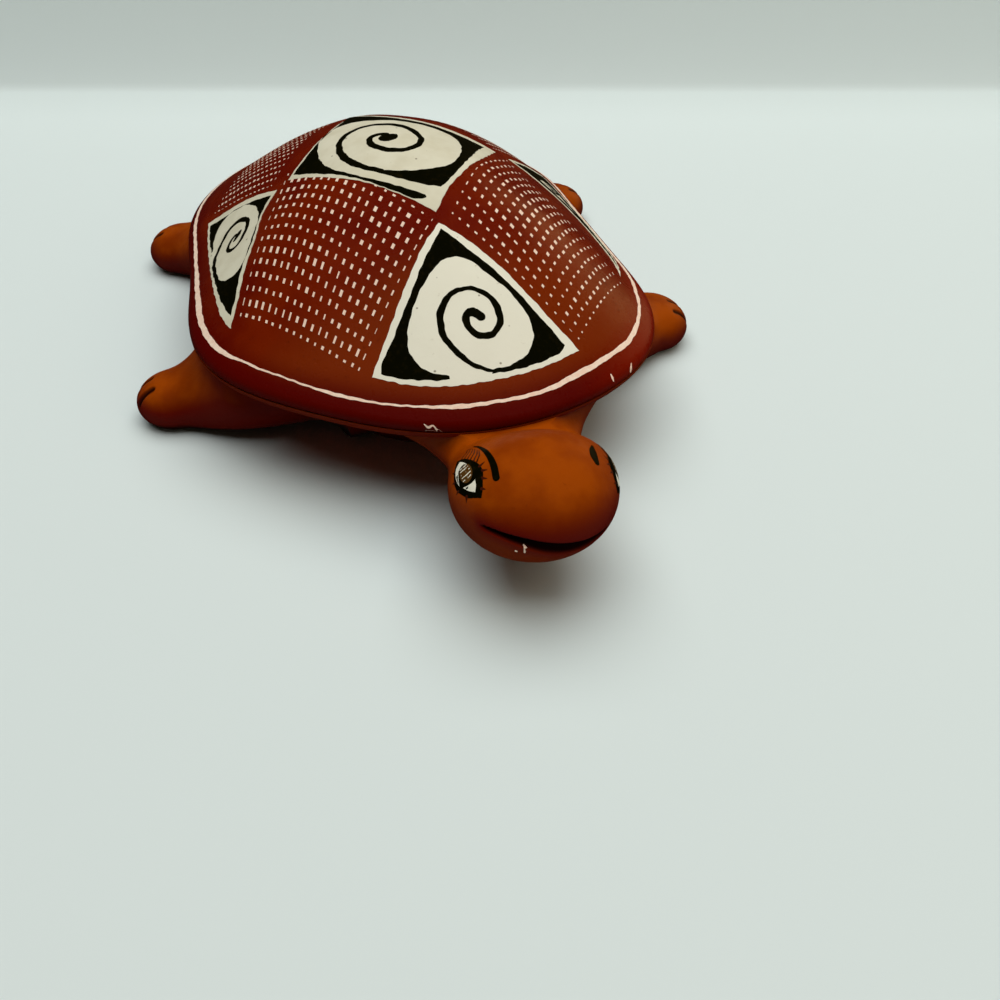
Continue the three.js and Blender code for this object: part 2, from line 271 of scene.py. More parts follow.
def eased(points, spacing=0.4):
    """Evenly spaced points on a smooth line through a few points."""
    points = np.asarray(points, float)
    gaps = np.linalg.norm(np.diff(points, axis=0), axis=1)
    along = np.concatenate([[0], np.cumsum(gaps)])
    slopes = np.gradient(points, along, axis=0)
    marks = np.linspace(0, along[-1], max(2, round(along[-1] / spacing) + 1))
    index = np.clip(np.searchsorted(along, marks, side="right") - 1, 0, len(gaps) - 1)
    t = ((marks - along[index]) / gaps[index])[:, None]
    return smoothed(t, gaps[index][:, None], points[index], points[index + 1],
                    slopes[index], slopes[index + 1])


def outline(*runs, spacing=0.4):
    """A closed outline whose smooth runs meet in corners; each run starts in a corner."""
    closed = [eased([*run, after[0]], spacing)[:-1] for run, after in zip(runs, runs[1:] + runs[:1])]
    return np.vstack(closed)


def brushed(points, reach=0.07):
    """The same points with the small unsteadiness of a brush."""
    x, y = points[:, 0], points[:, 1]
    return points + reach * np.stack([np.sin(1.7 * y + 0.9 * x) + 0.5 * np.sin(3.9 * y - x),
                                      np.sin(1.9 * x - 0.8 * y) + 0.5 * np.sin(4.3 * x + y)], -1)


def stroke(points, widths):
    """The outline of a brush line with widths along it and round ends."""
    points = np.asarray(points, float)
    half = np.interp(np.linspace(0, 1, len(points)), np.linspace(0, 1, len(widths)), widths) / 2
    ahead = np.gradient(points, axis=0)
    ahead /= np.linalg.norm(ahead, axis=1)[:, None]
    left = np.stack([-ahead[:, 1], ahead[:, 0]], -1)
    sweep = np.radians(np.arange(-60, 61, 30))[:, None]
    front = points[-1] + half[-1] * (np.cos(sweep) * ahead[-1] - np.sin(-sweep) * left[-1])
    back = points[0] - half[0] * (np.cos(sweep) * ahead[0] + np.sin(sweep) * left[0])
    side = half[:, None] * left
    return np.vstack([points - side, front, (points + side)[::-1], back])


def inside(places, loops):
    """Which places closed loops wind round; a loop drawn the other way cuts a hole."""
    turns = np.zeros(len(places), int)
    for loop in loops:
        start, end = loop, np.roll(loop, -1, axis=0)
        x, y = places[:, :1], places[:, 1:]
        rise = np.where(start[:, 1] == end[:, 1], 1, end[:, 1] - start[:, 1])
        cross = start[:, 0] + (y - start[:, 1]) * (end[:, 0] - start[:, 0]) / rise
        up, down = (start[:, 1] <= y) & (end[:, 1] > y), (start[:, 1] > y) & (end[:, 1] <= y)
        turns += np.sum((x < cross) * (up.astype(int) - down), axis=1)
    return turns != 0


def film(name, loops, lift, finish, tree, view=PLAN, spacing=0.8):
    """A thin closed layer on a surface, inside loops drawn on a plane in front of it."""
    rim_points = np.vstack(loops)
    low, high = rim_points.min(axis=0), rim_points.max(axis=0)
    columns, rows = (np.arange(low[axis], high[axis], spacing) for axis in (0, 1))
    grid = np.stack(np.meshgrid(columns, rows), -1)
    grid[1::2, :, 0] += spacing / 2
    grid = grid.reshape(-1, 2)
    grid = grid[inside(grid, loops)]
    if len(grid):
        gaps = np.array([np.min(np.sum((rim_points - place) ** 2, axis=1)) for place in grid])
        grid = grid[gaps > (CLEAR_SHARE * spacing) ** 2]
    edges, start = [], 0
    for loop in loops:
        edges += [(start + i, start + (i + 1) % len(loop)) for i in range(len(loop))]
        start += len(loop)
    drawn = [Vector(place) for place in np.vstack([rim_points, grid])]
    flat, _, cells, *_ = delaunay_2d_cdt(drawn, edges, [], 0, 1e-5)
    flat = np.array([tuple(p) for p in flat])
    cells = np.array([cell[:3] for cell in cells])
    cells = cells[inside(flat[cells].mean(axis=1), loops)]
    corner, second, third = (flat[cells[:, i]] for i in range(3))
    a, b = second - corner, third - corner
    turned = a[:, 0] * b[:, 1] - a[:, 1] * b[:, 0] < 0
    cells[turned] = cells[turned][:, ::-1]
    sides = {(cell[i], cell[(i + 1) % 3]) for cell in cells.tolist() for i in range(3)}
    border = [side for side in sides if side[::-1] not in sides]
    thin = {corner for side in border for corner in side}
    origin, across, upward = (Vector(axis) for axis in view)
    ray = -across.cross(upward)
    top, bottom = [], []
    for index, (u, v) in enumerate(flat):
        spot, normal, *_ = tree.ray_cast(origin + across * u + upward * v, ray)
        if spot is None:
            spot, normal = Vector((0, 0, 0)), Vector((0, 0, 1))
        top.append(spot + normal * (lift - EDGE_DROP if index in thin else lift))
        bottom.append(spot - normal * BURIED)
    count = len(flat)
    skin = cells.tolist() + (cells[:, ::-1] + count).tolist()
    skin += [[a + count, b + count, b, a] for a, b in border]
    used = sorted({corner for face in skin for corner in face})
    place = {corner: index for index, corner in enumerate(used)}
    points = [tuple((top + bottom)[corner]) for corner in used]
    return solid(name, points, [[place[corner] for corner in face] for face in skin], finish)


cream = Finish("cream_slip")
grain = cream.noise(1.2, 5)
wash = cream.noise(7)
shade = cream.mix(cream.ramp(wash, 0.3, 0.7), (0.66, 0.62, 0.45), (0.74, 0.71, 0.54))
# Painted light: the cream is lighter and whiter towards the front, on the front panel, whose slope gets
# less of the softbox.
shade = cream.mix(cream.ramp(cream.axis(1), -0.024, -0.028, 0, 0.8), shade, (0.90, 0.88, 0.72))
shade = cream.mix(cream.ramp(grain, 0.66, 0.8, 0, 0.5), shade, (0.36, 0.30, 0.17))
shade = cream.mix(cream.ramp(cream.cells(4.2), 0.075, 0.035, 0, 0.75), shade, (0.16, 0.13, 0.08))
cream_slip = cream.done(Base_Color=shade, Roughness=cream.ramp(grain, 0.3, 0.7, 0.36, 0.5),
                        Specular_IOR_Level=0.12, Normal=cream.bump(grain, 0.04))

black = Finish("black_slip")
grain = black.noise(1.0, 5)
shade = black.mix(black.ramp(grain, 0.5, 0.8, 0, 0.8), (0.0028, 0.0028, 0.0004), (0.010, 0.007, 0.001))
black_slip = black.done(Base_Color=shade, Roughness=black.ramp(grain, 0.3, 0.7, 0.3, 0.45),
                        Specular_IOR_Level=0.02, Normal=black.bump(grain, 0.04))

front_cream = [outline(
    [(1.5, -26.9), (-3.5, -31.9), (-8.2, -37.6), (-12.8, -43.3), (-16.3, -47.7)],
    [(-17.5, -49.1), (-11.5, -53), (-4.9, -55.5), (2.2, -56.3), (9.9, -55.7), (16, -54.1)],
    [(20.6, -52.2), (18.8, -49.5), (14.2, -42.7), (8.9, -35.1), (4.6, -30)])]
front_black = [outline(
    [(1.5, -28.3), (-3.3, -33.8), (-8, -39.6), (-12.5, -45), (-15.2, -47.8)],
    [(-15.8, -49.3), (-13.7, -50.9), (-8, -53.5), (-5.5, -54.3)],
    [(-4.5, -54.4)],
    [(-4.5, -53.9), (-8.3, -51.6), (-10.1, -48.2), (-9.7, -45.1), (-7.5, -41.2), (-4.4, -37.7),
     (-1.5, -35.3), (1.3, -34.2), (3.8, -34.7), (7.8, -38.6), (11.1, -42.8), (12.7, -46.7),
     (12.6, -49.6), (10.9, -52.2), (6.2, -54.4)],
    [(3.3, -54.6)],
    [(2.9, -55.3), (7.2, -55.2), (13.3, -54), (16.8, -52.6)],
    [(18.1, -51.4), (15.6, -47.4), (10.4, -39.6), (4.2, -31.7)])]
front_line = [
    stroke(
        eased([(3.4, -54.9), (0.8, -53.7), (-2, -50.7), (-3.6, -47.2), (-3.2, -43.8), (-1, -41.2),
               (1.9, -40.3), (5.1, -41.2), (7.1, -43.7), (7.2, -46.6), (5.1, -48.8), (2.7, -48.8),
               (1.1, -46.8), (1.5, -44.8), (2.8, -44.6)]),
        [0.5, 0.8, 0.9, 1.05, 1.2, 1.3, 1.05, 0.7, 0.9, 1.2, 1.35, 1.05, 1.1, 1.35, 1.5]),
    stroke([(2.2, -44.7), (3.2, -44.9), (3.9, -45.7)], [1.1, 1.7, 1.5])]

centre_cream = [outline(
    [(-22, 4.2), (-18.2, -1.7), (-14.9, -6.8), (-11.6, -10.4), (-6.8, -15.1), (-2.2, -20.2)],
    [(1.7, -24.5), (5.3, -19.4), (10.6, -13.4), (13.9, -9.3), (17.9, -2.9)],
    [(23.4, 7.4), (17.9, 7.7), (13.6, 8.2), (9.6, 9.6), (5, 13.5), (0, 20)],
    [(-4, 30), (-6.5, 21.5), (-9.3, 17.2), (-12.2, 13.2), (-17.5, 8.3)])]
centre_black = [outline(
    [(0.9, -20.7), (-0.5, -20.8), (-4.4, -17.3), (-9.1, -12.3), (-13.9, -6.7), (-18.8, 1.1)],
    [(-20.8, 4.4), (-16.4, 8.5), (-11, 13.8), (-7.8, 18.5)],
    [(-4.5, 27), (-1.2, 19.5), (3.7, 12.3), (7.3, 9), (11, 6.9), (15, 5.8)],
    [(20.1, 5.2), (17.4, 0.2), (13.4, -7.5), (10.4, -12), (6.5, -16.6)],
    [(4.4, -18.4), (2.4, -17.8), (-1.8, -15.1)],
    [(-6.9, -10.7)],
    [(-6.3, -9.8), (-4.8, -11.1), (-2.1, -12.3), (0.7, -13), (3.7, -13), (6.8, -12.5),
     (8.8, -11.3), (10.9, -8.3), (12.6, -4), (13.3, 0), (12.8, 3), (8.7, 5.8), (5.9, 7.4),
     (2.3, 10.1), (-1.5, 12.5), (-4.3, 14.6), (-6.8, 15.5), (-9.3, 15.2), (-11.5, 13.7),
     (-13.5, 11.3), (-14.9, 7), (-15.1, 1.3), (-14.2, -3.2), (-12.8, -6.6), (-10.5, -9.7),
     (-5.6, -14.5), (-0.8, -18.6)],
    [(0.9, -20)])]
centre_line = [
    stroke(
        eased([(-5.6, -11), (-8.2, -8.6), (-10.1, -5.4), (-11.1, -1), (-11.1, 2.6), (-10.4, 5.4),
               (-8.7, 7.5), (-6.3, 8.7), (-3.7, 8.9), (-1, 7.8), (1.9, 5.8), (3.6, 3.3), (4.6, 0.7),
               (4.7, -2.5), (3.3, -4.8), (1.1, -5.9), (-1.2, -5.7), (-3.4, -4.4), (-4.8, -2.4),
               (-5.3, 0.2), (-4.5, 1.9), (-3, 2.2), (-1.6, 1.4)]),
        [1.2, 1.3, 1.4, 1.5, 1.45, 1.4, 1.3, 1.3, 1.2, 1.2, 1.2, 1.4, 1.6, 1.5, 1.3, 1.2, 1.2, 1.3,
         1.5, 1.5, 1.3, 1.2, 1.2]),
    stroke([(-1.9, -0.2), (-0.9, -0.2)], [3.2, 2.9])]

side_cream = [outline(
    [(-24.5, 4.2), (-29.8, 11.1), (-34.2, 15.2)],
    [(-39.2, 19.6), (-40.1, 12.8), (-40.7, 3.9), (-41, -6.2), (-41, -15), (-40.6, -21.5)],
    [(-39.5, -25.7), (-37, -20.7), (-34.5, -14.7), (-31.3, -8.2), (-28, 0.2)])]
side_black = [outline(
    [(-39.8, 5.5), (-39.8, 9.6), (-39.4, 13.9)],
    [(-38.9, 17.3), (-36.3, 14.9), (-32.2, 11.3), (-28.4, 7.4)],
    [(-25.9, 4), (-27.5, 2), (-30.1, -2.9), (-32.7, -8.9), (-35.6, -15), (-38, -21.2)],
    [(-39, -22.9), (-40, -17.6), (-40.4, -9.9), (-40.5, -4.5)],
    [(-40.4, -1)],
    [(-39.6, -1.5), (-39.7, -6), (-39.3, -10.2), (-38.3, -12.2), (-36.9, -13.1),
     (-35.3, -12.8), (-33.6, -11), (-31.6, -7.4), (-30, -2.9), (-29.1, 2), (-29.2, 5.2),
     (-31, 10), (-33.5, 12.7), (-35, 13.4), (-36.6, 13), (-38.1, 11.2), (-39, 8.8)],
    [(-39.5, 5.4)])]
side_line = [
    stroke(
        eased([(-40, -1.6), (-39.3, 1.5), (-38.2, 3.5), (-37, 5.3), (-35.6, 6.7), (-34.3, 7),
               (-33, 6.3), (-31.9, 4.7), (-31.5, 2.7), (-31.7, 1), (-32.6, -0.9), (-33.8, -2.6),
               (-35, -3.1), (-36.1, -2.6), (-36.6, -1.4), (-36.3, 0.2), (-35.5, 1.6), (-34.4, 1.9)]),
        [0.8, 0.9, 0.9, 0.9, 1, 1.1, 1.1, 0.9, 0.9, 1, 0.9, 0.8, 0.8, 0.8]),
    stroke([(-33.4, 1.6), (-34, 0.9), (-34.8, 0.1)], [0.9, 1.4, 0.8])]

far_cream = [outline(
    [(26.8, 9), (32.6, 8.4), (37.1, 5), (39.4, -1), (40.2, -8), (40.1, -15), (39.5, -22.5)],
    [(38.5, -29.5), (40.8, -22.5), (42, -14), (42.5, -5), (42.2, 5), (41.2, 15)],
    [(39.8, 22.5), (35.5, 18.5), (31, 13.8)])]
far_black = [
    outline([(28.6, 9.7), (33, 9.3), (37.6, 5.8), (39.9, -1), (40.7, -8), (40.6, -15)],
            [(39.9, -24.5), (41.1, -18), (41.6, -11), (41.8, -3), (41.5, 6), (40.6, 14)],
            [(39.3, 20.3), (35.5, 17), (31.6, 13.3)]),
    outline([(35.4, 11.6), (37.4, 13.6), (38.9, 12.8)], [(40, 8.5), (40.8, 2), (39.6, 6.3), (38, 9.2)])]
far_line = [
    stroke(eased([(36.9, 12), (38, 12), (39.1, 9.9), (38.4, 9.6), (37.9, 10.6)]), [0.5, 0.7, 0.7, 0.6])]

FRONT_APEX, BACK_APEX, BACK_SCALE = (1.6, -26.5), (-2.5, 32.3), (0.95, 0.91)


def turned_back(loops):
    """The front panel's drawing, turned half round on to the back of the shell."""
    return [np.array(BACK_APEX) - BACK_SCALE * (loop - FRONT_APEX) for loop in loops]


panels = {
    "front": (front_cream, front_black, front_line),
    "centre": (centre_cream, centre_black, centre_line),
    "right": (side_cream, side_black, side_line),
    "left": (far_cream, far_black, far_line),
    "back": tuple(map(turned_back, (front_cream, front_black, front_line))),
}
for where, (ground, dark, line) in panels.items():
    for kind, loops, lift, finish, slot in (
            ("cream", ground, CREAM_LIFT, cream_slip, "cream_slip"),
            ("border", dark, BLACK_LIFT, black_slip, "black_slip"),
            ("spiral", line, LINE_LIFT, black_slip, "black_slip")):
        loops = [brushed(loop) for loop in loops]
        film(f"{where}_panel_{kind}", loops, lift, finish, carapace_tree)

# Stripe: a line scratched through the red slip to the pale clay with a stick, a little inside the rim.
# Each station has its angle in degrees, its inset from the rim and the line's width there.
STRIPE_LIFT, STRIPE_SPACING = 0.08, 4
STRIPE = [
    (-180, 2.2, 0.9), (-140, 1.7, 0.9), (-126, 1.75, 0.8), (-113, 1.6, 0.8), (-100, 1.2, 0.75),
    (-87, 1.65, 1), (-77, 2.3, 1.2), (-66, 2.4, 1.15), (-56, 2.45, 0.85), (-48, 3.05, 0.35),
    (-40, 3, 0.28), (-32, 2.65, 0.32), (-26, 2.35, 0.6), (-18, 2.4, 0.35), (-11, 2.7, 0.3),
    (-4, 2.8, 0.9), (2, 3.05, 0.5), (8, 2.95, 0.65), (12, 3, 0.8), (18, 3.55, 0.95),
    (26, 3.6, 0.85), (33, 3.1, 0.88), (42, 3.25, 0.65), (51, 3, 0.75), (56, 2.2, 0.85),
    (62, 1.7, 0.9), (75, 1.3, 0.8), (95, 1.1, 0.7), (120, 1.5, 0.8), (150, 1.9, 0.9),
    (180, 2.2, 0.9)]

pale = Finish("scratched_clay")
grain = pale.noise(0.9, 4)
shade = pale.mix(pale.ramp(grain, 0.35, 0.7), (0.92, 0.66, 0.50), (0.97, 0.79, 0.62))
pale_clay = pale.done(Base_Color=shade, Roughness=0.6, Normal=pale.bump(grain, 0.06))

stripe_turns = np.radians(np.linspace(-180, 180, 720, endpoint=False))
stations, insets, widths = (np.array(column, float) for column in zip(*STRIPE))
inset, width = (np.interp(np.degrees(stripe_turns), stations, values) for values in (insets, widths))
width = width * (1 + 0.08 * np.sin(23 * stripe_turns) + 0.06 * np.sin(61 * stripe_turns))
stripe_loops = []
for side in (0.5, -0.5):
    reach = rim_at(stripe_turns) - inset + side * width
    loop = brushed(np.stack([reach * np.sin(stripe_turns), -reach * np.cos(stripe_turns)], -1), 0.05)
    stripe_loops.append(loop[::int(2 * side)])
film("stripe", stripe_loops, STRIPE_LIFT, pale_clay, carapace_tree, spacing=STRIPE_SPACING)

# Dash fields: rows of short marks scratched through the slip between the panels, thick and thin.
# They are laid out as a flat lattice, bent between four corners and dropped on to the shell.
# Near scales the width of the first column's marks, and First the length of the first row's.
DASH_LIFT, DASH_SINK, DASH_SHAKE = 0.05, 0.05, 0.004
CORNERS = ("Start Left", "Start Right", "End Left", "End Right")
MARKS = ("Thin", "Thick", "Short", "Long", "Near", "First")


def dash_tree():
    """The node tree that makes one field of dashes."""
    tree = bpy.data.node_groups.new("dash_field", "GeometryNodeTree")
    sockets = {"Object": ["Shell"], "Material": ["Finish"], "Int": ["Columns", "Rows", "Seed"],
               "Vector": CORNERS, "Float": [*MARKS, "Shake", "Lift"]}
    keys = {}
    for kind, names in sockets.items():
        for name in names:
            made = tree.interface.new_socket(name, in_out="INPUT", socket_type=f"NodeSocket{kind}")
            keys[name] = made.identifier
    tree.interface.new_socket("Geometry", in_out="OUTPUT", socket_type="NodeSocketGeometry")
    given = tree.nodes.new("NodeGroupInput").outputs

    def node(kind, inputs=None, **settings):
        return wired(tree, kind, inputs or {}, settings)

    def maths(operation, *values):
        return node("ShaderNodeMath", dict(enumerate(values)), operation=operation)[0]

    def vector(operation, *values):
        return node("ShaderNodeVectorMath", dict(enumerate(values)), operation=operation)[0]

    def blended(share, first, second):
        return node("ShaderNodeMix", {0: share, 4: first, 5: second}, data_type="VECTOR")[1]

    def chance(low, high, key, seed):
        inputs = {2: low, 3: high, "ID": key, "Seed": seed}
        return node("FunctionNodeRandomValue", inputs, data_type="FLOAT")[1]

    def scaled_first(place, count, scale):
        return node("ShaderNodeMapRange", {0: place, 1: 0.0, 2: count, 3: scale, 4: 1.0})[0]

    lattice = node("GeometryNodeMeshGrid", {"Size X": 1.0, "Size Y": 1.0, "Vertices X": given["Columns"],
                                            "Vertices Y": given["Rows"]})[0]
    index = node("GeometryNodeInputIndex")[0]
    column = maths("FLOOR", maths("DIVIDE", index, given["Rows"]))
    row = maths("MODULO", index, given["Rows"])
    own = maths("ADD", given["Seed"], 7)
    width = maths("MULTIPLY", chance(given["Thin"], given["Thick"], column, given["Seed"]),
                  chance(0.75, 1.25, index, own))
    length = maths("MULTIPLY", chance(given["Short"], given["Long"], row, given["Seed"]),
                   chance(0.85, 1.15, index, maths("ADD", own, 1)))
    width = maths("MULTIPLY", width, scaled_first(column, given["Columns"], given["Near"]))
    length = maths("MULTIPLY", length, scaled_first(row, given["Rows"], given["First"]))
    shake = [maths("MULTIPLY", chance(-1.0, 1.0, index, maths("ADD", own, 2 + axis)), given["Shake"])
             for axis in range(2)]
    offset = node("ShaderNodeCombineXYZ", {0: shake[0], 1: shake[1]})[0]
    lattice = node("GeometryNodeSetPosition", {"Geometry": lattice, "Offset": offset})[0]
    block = node("GeometryNodeMeshCube", {"Size": (1.0, 1.0, 1.0)})[0]
    size = node("ShaderNodeCombineXYZ", {0: maths("DIVIDE", width, given["Columns"]),
                                         1: maths("DIVIDE", length, given["Rows"]), 2: 1.0})[0]
    blocks = node("GeometryNodeInstanceOnPoints",
                  {"Points": lattice, "Instance": block, "Scale": size})[0]
    blocks = node("GeometryNodeRealizeInstances", {"Geometry": blocks})[0]
    place = node("ShaderNodeSeparateXYZ", {0: node("GeometryNodeInputPosition")[0]})
    along, down = maths("ADD", place[0], 0.5), maths("ADD", place[1], 0.5)
    spot = blended(down, blended(along, given["Start Left"], given["Start Right"]),
                   blended(along, given["End Left"], given["End Right"]))
    above = vector("ADD", spot, (0, 0, 0.1))
    shell = node("GeometryNodeObjectInfo", {"Object": given["Shell"]})["Geometry"]
    drop = node("GeometryNodeRaycast", {"Target Geometry": shell, "Source Position": above,
                                        "Ray Direction": (0, 0, -1), "Ray Length": 0.2})
    lift = maths("MULTIPLY", maths("ADD", place[2], 0.5), maths("ADD", given["Lift"], DASH_SINK * MM))
    lift = maths("SUBTRACT", lift, DASH_SINK * MM)
    raised = node("ShaderNodeVectorMath", {0: drop["Hit Normal"], 3: lift}, operation="SCALE")[0]
    laid = vector("ADD", drop["Hit Position"], raised)
    blocks = node("GeometryNodeSetPosition", {"Geometry": blocks, "Position": laid})[0]
    finished = {"Geometry": blocks, "Material": given["Finish"]}
    node("NodeGroupOutput", {0: node("GeometryNodeSetMaterial", finished)[0]})
    return tree, keys


def made_plain(piece):
    """The mesh that an object's modifiers give."""
    return bpy.data.meshes.new_from_object(piece.evaluated_get(bpy.context.evaluated_depsgraph_get()))


field_tree, field_keys = dash_tree()
fields = {
    "front_right": ((18, 14), [(-21.6, 6.8), (0.6, -26), (-37.3, -24.7), (-19.3, -47)],
                    (0.2, 0.32, 0.34, 0.62, 1, 0.72)),
    "front_left": ((13, 17), [(4.5, -25.2), (25.8, 6.7), (21.3, -50.2), (37, -33)],
                   (0.15, 0.34, 0.2, 0.36, 1.25, 1.3)),
    "rear_right": ((16, 15), [(-25.2, 7.8), (-7, 30), (-37.4, 21.1), (-20, 49)],
                   (0.17, 0.34, 0.3, 0.6, 1, 0.8)),
    "rear_left": ((16, 15), [(5, 30), (24, 10.5), (20, 49), (38, 24.5)],
                  (0.17, 0.34, 0.3, 0.6, 1, 0.8)),
}
for seed, (where, ((columns, rows), corners, marks)) in enumerate(fields.items()):
    source = linked("dash_source", bpy.data.meshes.new("dash_source"))
    maker = source.modifiers.new("dashes", "NODES")
    maker.node_group = field_tree
    named = {"Shell": carapace, "Finish": pale_clay, "Columns": columns, "Rows": rows, "Seed": seed,
             "Shake": DASH_SHAKE, "Lift": DASH_LIFT * MM, **dict(zip(MARKS, marks))}
    named.update({name: (x * MM, y * MM, 0) for name, (x, y) in zip(CORNERS, corners)})
    for name, value in named.items():
        maker[field_keys[name]] = value
    dashes = linked(f"{where}_dashes", made_plain(source))
    bpy.data.objects.remove(source)
    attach(dashes, "pottery")

# Belly bowl: the lower bowl of bare burnished clay, drawn in sharply under the rim.
# It rests on a flat oval, and a hole smaller than the pellets let its air out in the kiln.
REST_LENGTH, REST_WIDTH = 80, 55
UNDERCUT, BELLY_SWELL, BELLY_SHOULDER, BELLY_FLOOR = 4.3, 4.5, 15, 4
VENT_RADIUS, VENT_SETBACK, BELLY_PAINTED_SHADE = 3, 21, 0.6

tan = Finish("burnished_clay")
cloud = tan.noise(9)
grain = tan.noise(1.1, 5)
lip_slip_and_painted_shade = tan.node("ShaderNodeAttribute", output=2, attribute_name="lip_slip_and_painted_shade")
grooves_and_painted_sole_shadow = tan.node("ShaderNodeAttribute", output=2, attribute_name="grooves_and_painted_sole_shadow")
# Painted shade: the clay is darker and redder where its surface turns away from up, and darker still near
# the ground.
facing = tan.axis(2, tan.node("ShaderNodeNewGeometry", output=1))
low = tan.ramp(tan.axis(2) + cloud * 0.006, 0.003, 0.014, 1, 0)
turned = tan.ramp(facing + cloud * 0.2, 0.1, 0.85, 0.8, 0)
shade = tan.mix(tan.ramp(cloud, 0.35, 0.65), (0.24, 0.034, 0.0003), (0.33, 0.055, 0.0006))
shade = tan.mix(turned, shade, (0.14, 0.010, 0.0004))
shade = tan.mix(low, shade, (0.085, 0.0015, 0.0003))
shade = tan.mix(tan.ramp(grain, 0.62, 0.8, 0, 0.4), shade, (0.13, 0.018, 0.001))
# Red slip rubbed on the lips, and painted shade on the belly and on the sides of the feet.
shade = tan.mix(lip_slip_and_painted_shade, shade, (0.125, 0.0035, 0.0006))
# Dark grooves of the mouth and claws, and painted shadow at the feet's soles.
shade = tan.mix(grooves_and_painted_sole_shadow, shade, (0.010, 0.0008, 0.0004))
tan_slip = tan.done(Base_Color=shade, Roughness=tan.ramp(grain, 0.3, 0.7, 0.38, 0.52),
                    Specular_IOR_Level=0.05, Normal=tan.bump(grain, 0.06))

foot_reach = oval_at(REST_LENGTH, REST_WIDTH, TURNS)
belly_seam = SEAM_HEIGHT - 0.02


def belly_rows(inward, top, floor, steps):
    """Rings down the belly's wall, a distance inside its outer surface."""
    start, end = lip - inward, foot_reach - inward
    rows = []
    for t in np.linspace(0, 1, steps):
        reach = bend(t, start, start, end + BELLY_SWELL, end)
        height = bend(t, top, top - UNDERCUT, max(BELLY_SHOULDER, floor), floor)
        rows.append(ring_at(reach, height))
    return rows


outer_rows = belly_rows(0, belly_seam, 0, 34)
base_rows = [ring_at(foot_reach * share, 0) for share in (0.97, 0.75, 0.5, 0.25)]
inner_rows = [ring_at(foot_reach * share, BELLY_FLOOR) for share in (0.25, 0.5, 0.75)]
inner_rows += belly_rows(RIM_WALL, belly_seam, BELLY_FLOOR, 16)[::-1]
points, faces = skinned((0, 0, BELLY_FLOOR), inner_rows + outer_rows + base_rows, (0, 0, 0))
belly = solid("belly_shell", points, faces, tan_slip, replaced=["belly_bowl"], sharp=50)

turns, ends = TURNS[::8], (BELLY_FLOOR + 1, -1)
across, along = VENT_RADIUS * np.sin(turns), VENT_SETBACK - VENT_RADIUS * np.cos(turns)
rings = [np.stack([across, along, height + 0 * turns], -1) for height in ends]
points, faces = skinned((0, VENT_SETBACK, ends[0]), rings, (0, VENT_SETBACK, ends[1]))
drill_mesh = bpy.data.meshes.new("drill")
drill_mesh.from_pydata((points * MM).tolist(), [], faces)
drill = linked("drill", drill_mesh)
cut = belly.modifiers.new("vent", "BOOLEAN")
cut.object = drill
bored = made_plain(belly)
belly.modifiers.clear()
belly.data = bored
bored.set_sharp_from_angle(angle=math.radians(50))
bpy.data.objects.remove(drill)


def shade_layer(piece, name, values):
    """Store a share for each point of a piece, for its finish."""
    layer = piece.data.attributes.new(name, "FLOAT", "POINT")
    layer.data.foreach_set("value", np.asarray(values, float))


# Painted shade: the whole belly is darkened, as it lies in the shadow under the rim.
shade_layer(belly, "lip_slip_and_painted_shade", [BELLY_PAINTED_SHADE] * len(bored.vertices))

points, faces = skinned((0, 0, SHELL_HEIGHT), outer_shell_rows + outer_rows + base_rows, (0, 0, 0))
outer_tree = BVHTree.FromPolygons(points.tolist(), faces)

# Head: one egg of solid clay on a short neck, its root smeared out over the belly's wall.
# The mouth was cut with a stick, and red slip was rubbed over the lips.
HEAD_ANGLE, HEAD_INSET, HEAD_TURN, HEAD_REACH, SNOUT = 6, 12.5, 5, 42.4, 14.4
FILLET, ROOT_DEPTH, ROOT_LEAD, LUTE_TOP = 3.5, 2.0, 9, 19.15


def through(*stations):
    """A smooth value along a limb through values at some distances."""
    at, value = (np.array(column, float) for column in zip(*stations))
    slopes = []
    for i in range(len(at)):
        before, after = max(i - 1, 0), min(i + 1, len(at) - 1)
        slopes.append((value[after] - value[before]) / (at[after] - at[before]))
    slopes[-1] = 0

    def smooth(where):
        where = min(max(where, at[0]), at[-1])
        i = min(int(np.searchsorted(at, where, side="right")) - 1, len(at) - 2)
        gap = at[i + 1] - at[i]
        return smoothed((where - at[i]) / gap, gap, value[i], value[i + 1], slopes[i], slopes[i + 1])
    return smooth


def inside_rim(angle, inset):
    """The place a distance inside the rim at an angle in degrees."""
    turn = math.radians(angle)
    reach = float(rim_at(turn)) - inset
    return np.array([reach * math.sin(turn), -reach * math.cos(turn), 0])


def depth_at(point):
    """How far a point is outside the shell's skin, and the skin's direction there."""
    spot, normal, _, gap = outer_tree.find_nearest(Vector(point))
    sign = 1 if (Vector(point) - spot).dot(normal) > 0 else -1
    return sign * gap, np.array(normal)


def rooted(point, ahead):
    """A point deep in the shell's clay moved along the limb until it is just under the skin."""
    for _ in range(24):
        gap, _ = depth_at(point)
        if gap >= -ROOT_DEPTH:
            break
        point = point + ahead * (-ROOT_DEPTH - gap)
    return point


def ways(heading):
    """The directions ahead and to the right of a heading in degrees from +X."""
    turn = math.radians(heading)
    return np.array([math.cos(turn), math.sin(turn), 0]), np.array([math.sin(turn), -math.cos(turn), 0])


